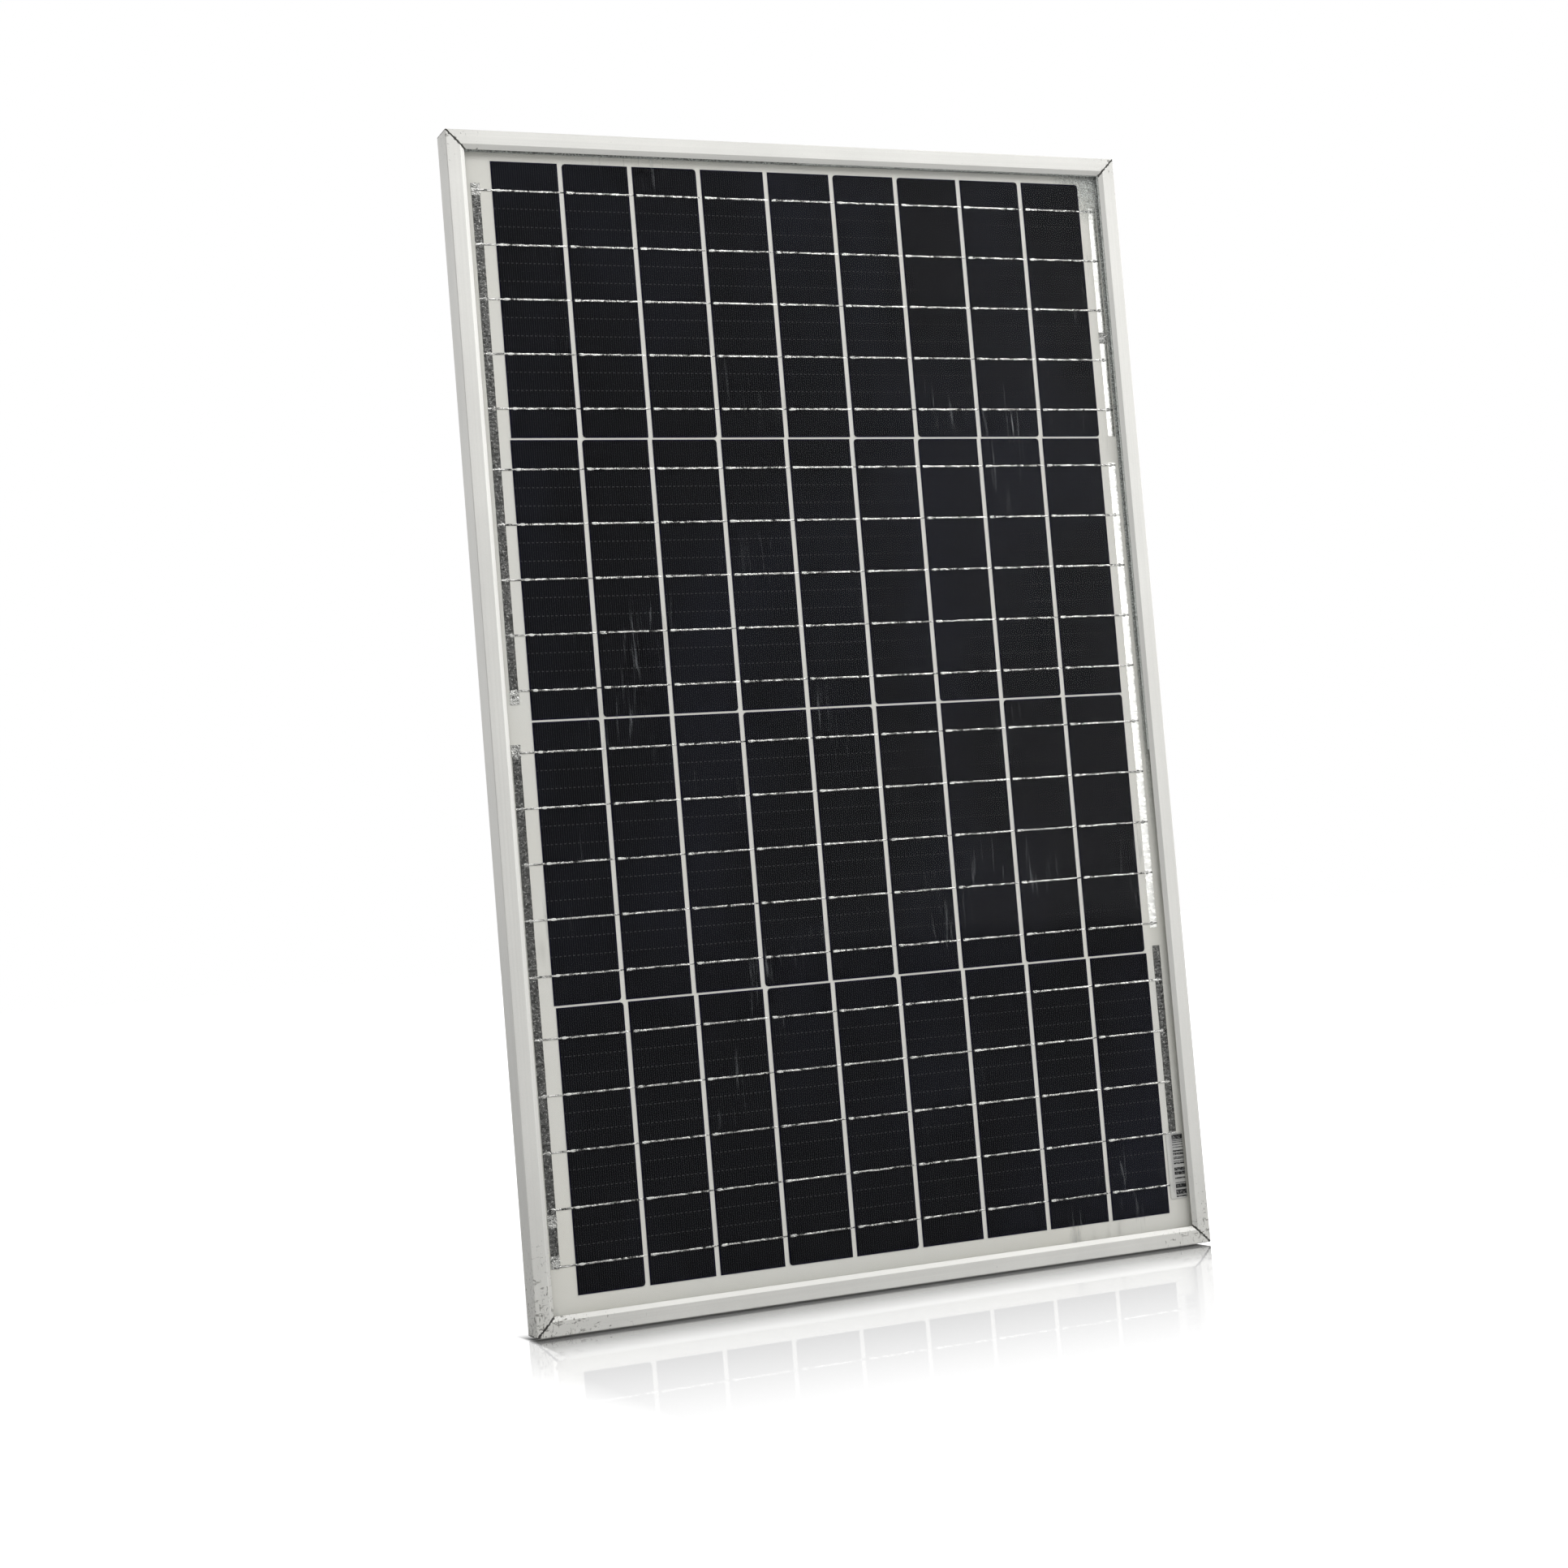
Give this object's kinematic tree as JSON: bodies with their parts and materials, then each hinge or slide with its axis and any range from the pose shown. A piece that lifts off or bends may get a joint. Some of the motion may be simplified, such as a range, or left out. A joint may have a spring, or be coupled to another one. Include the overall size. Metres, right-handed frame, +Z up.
{
  "type": "solar panel",
  "caption": "Upright framed solar panel: mitred aluminium frame, glass laminate of dark silicon cell strings with flat ribbons, and a slim lidded junction box on the back.",
  "frame": {"origin": "middle of the bottom edge, on the surface that the panel stands on", "axes": "+X to the right as seen from the glass side, +Y out of the back, +Z up; the glass faces -Y"},
  "size_m": [0.43, 0.017, 0.674],
  "materials": {
    "anodised_aluminium": "satin silver anodised, faint lengthwise extrusion lines",
    "die_cast": "die-cast grey",
    "edge_sealant": "off-white silicone",
    "cover_glass": "tempered low-iron solar glass, slightly textured",
    "encapsulant": "clear laminated film",
    "silicon_cell": "blue-black textured silicon with fine silver fingers",
    "tinned_ribbon": "tinned copper, hammered and speckled",
    "white_encapsulant": "white-pigmented laminated film",
    "backsheet": "warm white film",
    "label_film": "printed film",
    "black_plastic": "fine moulded grain",
    "black_rubber": "matt",
    "adhesive_foam": "matt closed-cell foam",
    "brass": "stamped brass",
    "plated_steel": "zinc plated",
    "diode_resin": "moulded epoxy"
  },
  "bodies": {
    "root": {"frame_rail_left": "anodised_aluminium", "frame_rail_right": "anodised_aluminium", "frame_rail_top": "anodised_aluminium", "frame_rail_bottom": "anodised_aluminium", "corner_key_1": "die_cast", "corner_key_2": "die_cast", "corner_key_3": "die_cast", "corner_key_4": "die_cast", "edge_seal": "edge_sealant", "cover_glass": "cover_glass", "front_encapsulant": "encapsulant", "rear_encapsulant": "white_encapsulant", "backsheet": "backsheet", "cell_string_1": "silicon_cell", "cell_string_2": "silicon_cell", "cell_string_3": "silicon_cell", "cell_string_4": "silicon_cell", "bus_ribbon_left_upper": "tinned_ribbon", "bus_ribbon_left_lower": "tinned_ribbon", "bus_ribbon_right": "tinned_ribbon", "lead_ribbon_upper": "tinned_ribbon", "lead_ribbon_lower": "tinned_ribbon", "serial_label": "label_film", "rating_label": "label_film", "junction_box_base": "black_plastic", "junction_box_gasket": "black_rubber", "junction_box_pad": "adhesive_foam", "lid_hinge_pin": "plated_steel", "cable_grommet_upper": "black_rubber", "terminal_strip_upper": "brass", "cable_grommet_lower": "black_rubber", "terminal_strip_lower": "brass", "bypass_diode": "diode_resin"},
    "lid": {"junction_box_lid": "black_plastic"},
    "screw_1": {"terminal_screw_1": "plated_steel"},
    "screw_2": {"terminal_screw_2": "plated_steel"},
    "screw_3": {"terminal_screw_3": "plated_steel"},
    "screw_4": {"terminal_screw_4": "plated_steel"}
  },
  "joints": [
    {"name": "lid_hinge", "type": "hinge", "parent": "root", "child": "lid", "pos_m": [0.1, 0.0071, 0.5729], "axis": [1, 0, 0], "range_deg": [0, 115]},
    {"name": "screw_1_turn", "type": "hinge", "parent": "root", "child": "screw_1", "pos_m": [0.114, 0.0032, 0.5377], "axis": [0, 1, 0], "continuous": true},
    {"name": "screw_2_turn", "type": "hinge", "parent": "root", "child": "screw_2", "pos_m": [0.114, 0.0032, 0.5467], "axis": [0, 1, 0], "continuous": true},
    {"name": "screw_3_turn", "type": "hinge", "parent": "root", "child": "screw_3", "pos_m": [0.086, 0.0032, 0.5377], "axis": [0, 1, 0], "continuous": true},
    {"name": "screw_4_turn", "type": "hinge", "parent": "root", "child": "screw_4", "pos_m": [0.086, 0.0032, 0.5467], "axis": [0, 1, 0], "continuous": true}
  ]
}
